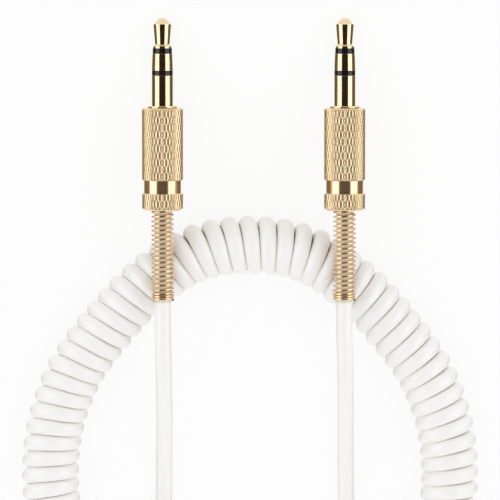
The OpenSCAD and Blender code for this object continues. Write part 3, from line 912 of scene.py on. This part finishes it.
# What a mirror sees round a plug's axis, by the angle from the camera in degrees. The soft
# lights fill the gap between the dark strip and the warm dark sides.
AROUND_AXIS = [
    (0, (0.026, 0.01, 0.004)), (34, (0.018, 0.009, 0.004)), (38, (0.95, 0.95, 0.95)),
    (84, (0.95, 0.95, 0.95)), (90, (0.15, 0.105, 0.048)), (150, (0.15, 0.105, 0.048)),
    (166, (1, 1, 1)), (180, (1, 1, 1)),
]
# How far off the ring of directions round a plug's axis the dark strip and the dark sides reach
# before they fade into the white tent. The ring lies a little back along the axis, by MIRROR_RING.
# STRIP_EDGE is how far sideways the strip's fade gives way to that of the sides.
STRIP_FADE = (0.8, 0.9)
SIDE_FADE = (0.16, 0.3)
MIRROR_RING = -0.08
STRIP_EDGE = (0.5, 0.62)
TENT_WHITE = 1.0
PLAIN_LIGHT = 0.96
FLOOR_SIZE = 6000
FLOOR_COLOUR = (0.92, 0.92, 0.92)
FLOOR_GLOW = 0.85
SOFT_LIGHT_ANGLE = math.radians(61)
SOFT_LIGHT_SIZE = (680, 900)
SOFT_LIGHT_DISTANCE = 800
SOFT_LIGHT_BRIGHTNESS = 0.8


def along(tree, source, direction):
    """How far a direction points along another one."""
    return node(tree, "ShaderNodeVectorMath", {0: source, 1: direction},
                operation="DOT_PRODUCT").outputs["Value"]


def size_of(tree, value):
    """A value without its sign."""
    return node(tree, "ShaderNodeMath", {0: value}, operation="ABSOLUTE").outputs["Value"]


def fade(tree, value, low, high):
    """Rises smoothly from 0 at low to 1 at high."""
    return node(tree, "ShaderNodeMapRange", {"Value": value, "From Min": low, "From Max": high},
                interpolation_type="SMOOTHSTEP").outputs["Result"]


def larger(tree, one, other):
    """The larger of two values."""
    return node(tree, "ShaderNodeMath", {0: one, 1: other}, operation="MAXIMUM").outputs["Value"]


def from_shine(tree):
    """1 for rays off gloss and through glass, and 0 for other rays."""
    path = tree.nodes.new("ShaderNodeLightPath")
    return larger(tree, path.outputs["Is Glossy Ray"], path.outputs["Is Transmission Ray"])


def from_camera(tree):
    """1 for rays from the camera, and 0 for other rays."""
    return tree.nodes.new("ShaderNodeLightPath").outputs["Is Camera Ray"]


def ring_colours(tree, sideways, forwards):
    """The colours of AROUND_AXIS, by the angle that a direction's two parts make."""
    angle = node(tree, "ShaderNodeMath", {0: sideways, 1: forwards}, operation="ARCTAN2")
    share = node(tree, "ShaderNodeMath", {0: angle.outputs["Value"], 1: math.pi},
                 operation="DIVIDE")
    stops = [(degrees / 180, colour) for degrees, colour in AROUND_AXIS]
    return colour_ramp(tree, share.outputs["Value"], stops)


def make_tent():
    """A world of plain white light, which is white to the camera and a tent in gloss and glass."""
    world = bpy.data.worlds.new("tent")
    bpy.context.scene.world = world
    world.use_nodes = True
    tree = world.node_tree
    looked_at = tree.nodes.new("ShaderNodeTexCoord").outputs["Generated"]
    sideways = size_of(tree, along(tree, looked_at, (1, 0, 0)))
    forwards = along(tree, looked_at, (0, math.sin(PLUG_SLOPE), math.cos(PLUG_SLOPE)))
    lengthways = along(tree, looked_at, (0, math.cos(PLUG_SLOPE), -math.sin(PLUG_SLOPE)))
    off_ring = size_of(tree, node(tree, "ShaderNodeMath", {0: lengthways, 1: MIRROR_RING},
                                  operation="SUBTRACT").outputs["Value"])
    white = (TENT_WHITE, TENT_WHITE, TENT_WHITE, 1)
    ring = ring_colours(tree, sideways, forwards)
    strip = mixed(tree, fade(tree, off_ring, *STRIP_FADE), ring, white)
    sides = mixed(tree, fade(tree, off_ring, *SIDE_FADE), ring, white)
    behind = node(tree, "ShaderNodeMath", {0: forwards, 1: 0.0}, operation="LESS_THAN")
    beside = fade(tree, sideways, *STRIP_EDGE)
    past = larger(tree, beside, behind.outputs["Value"])
    tent = mixed(tree, past, strip, sides)
    plain = (PLAIN_LIGHT, PLAIN_LIGHT, PLAIN_LIGHT, 1)
    light = mixed(tree, from_shine(tree), plain, tent)
    light = mixed(tree, from_camera(tree), light, white)
    tree.links.new(light, tree.nodes["Background"].inputs["Color"])


def make_floor():
    """A pale floor that keeps a faint shadow. Gloss and glass show the tent through it, and it is
    clear from below."""
    material = bpy.data.materials.new("floor_white")
    material.use_nodes = True
    tree = material.node_tree
    tree.nodes.remove(tree.nodes["Principled BSDF"])
    paint = node(tree, "ShaderNodeBsdfDiffuse", {"Color": (*FLOOR_COLOUR, 1)}).outputs["BSDF"]
    glow = node(tree, "ShaderNodeEmission", {"Color": (1, 1, 1, 1)}).outputs["Emission"]
    clear = tree.nodes.new("ShaderNodeBsdfTransparent").outputs["BSDF"]
    glow_share = node(tree, "ShaderNodeMath", {0: from_camera(tree), 1: FLOOR_GLOW},
                      operation="MULTIPLY").outputs["Value"]
    below = tree.nodes.new("ShaderNodeNewGeometry").outputs["Backfacing"]
    surface = node(tree, "ShaderNodeMixShader", {0: glow_share, 1: paint, 2: glow})
    surface = node(tree, "ShaderNodeMixShader", {
        0: larger(tree, from_shine(tree), below), 1: surface.outputs["Shader"], 2: clear,
    })
    tree.links.new(surface.outputs["Shader"], tree.nodes["Material Output"].inputs["Surface"])
    half = FLOOR_SIZE / 2
    corners = [(-half, -half, 0), (half, -half, 0), (half, half, 0), (-half, half, 0)]
    new_object("floor", corners, [(0, 1, 2, 3)], material, smooth=False)


def soft_light(name, sideways):
    """A rectangular soft light that faces the object, at an angle sideways of the camera. Its
    brightness is what a mirror shows of it, where 1 is white. Only gloss shows it, so that the
    white cord stays as evenly lit as in the photo."""
    data = bpy.data.lights.new(name, "AREA")
    data.shape = "RECTANGLE"
    data.size = SOFT_LIGHT_SIZE[0] * MM
    data.size_y = SOFT_LIGHT_SIZE[1] * MM
    data.energy = SOFT_LIGHT_BRIGHTNESS * math.pi * data.size * data.size_y
    light = bpy.data.objects.new(name, data)
    light.visible_diffuse = False
    bpy.context.scene.collection.objects.link(light)
    turn = Matrix.Rotation(-CAMERA_LEAN, 4, "X") @ Matrix.Rotation(sideways, 4, "Y")
    offset = turn @ Vector((0, 0, SOFT_LIGHT_DISTANCE))
    light.matrix_world = Matrix.Translation((Vector(LOOK_AT) + offset) * MM) @ turn


def make_studio():
    """The surroundings, and the plain colour transform that keeps white at white."""
    bpy.context.scene.view_settings.view_transform = "Standard"
    make_tent()
    make_floor()
    soft_light("left_light", -SOFT_LIGHT_ANGLE)
    soft_light("right_light", SOFT_LIGHT_ANGLE)


make_studio()
